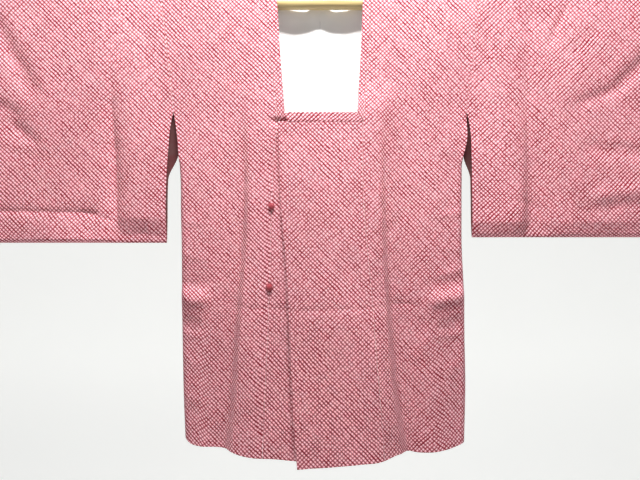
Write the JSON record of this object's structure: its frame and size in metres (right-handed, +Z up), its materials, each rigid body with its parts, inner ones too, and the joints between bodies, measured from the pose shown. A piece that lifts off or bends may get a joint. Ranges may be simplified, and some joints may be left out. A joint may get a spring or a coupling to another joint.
{
  "type": "michiyuki coat on a hanging rod",
  "caption": "Square-necked kimono coat of tie-dyed silk, hung flat by a round rod that runs through both sleeves.",
  "frame": {"origin": "middle of the hanging rod, on its axis", "axes": "+Z up, +X along the rod towards the wearer's left sleeve, -Y out of the coat's front"},
  "size_m": [1.42, 0.1085, 0.9079],
  "materials": {
    "dyed_silk": "soft puckered silk with a fine lattice of pale tie-dyed dots on crimson",
    "white_silk": "smooth white silk with a faint woven figure",
    "red_cord": "matte crimson cord, knotted into a button",
    "rod_tan": "smooth satin tan"
  },
  "bodies": {
    "root": {"hanging_rod": "rod_tan", "body_left": "dyed_silk", "body_right": "dyed_silk", "sleeve_left": "dyed_silk", "sleeve_right": "dyed_silk", "front_band_outer": "dyed_silk", "front_band_under": "dyed_silk", "neckband_left": "dyed_silk", "neckband_right": "dyed_silk", "neckband_outer": "dyed_silk", "neckband_under": "dyed_silk", "neckband_back": "dyed_silk", "back_lining_left": "white_silk", "back_lining_right": "white_silk", "button_upper": "red_cord", "button_lower": "red_cord"}
  },
  "joints": []
}
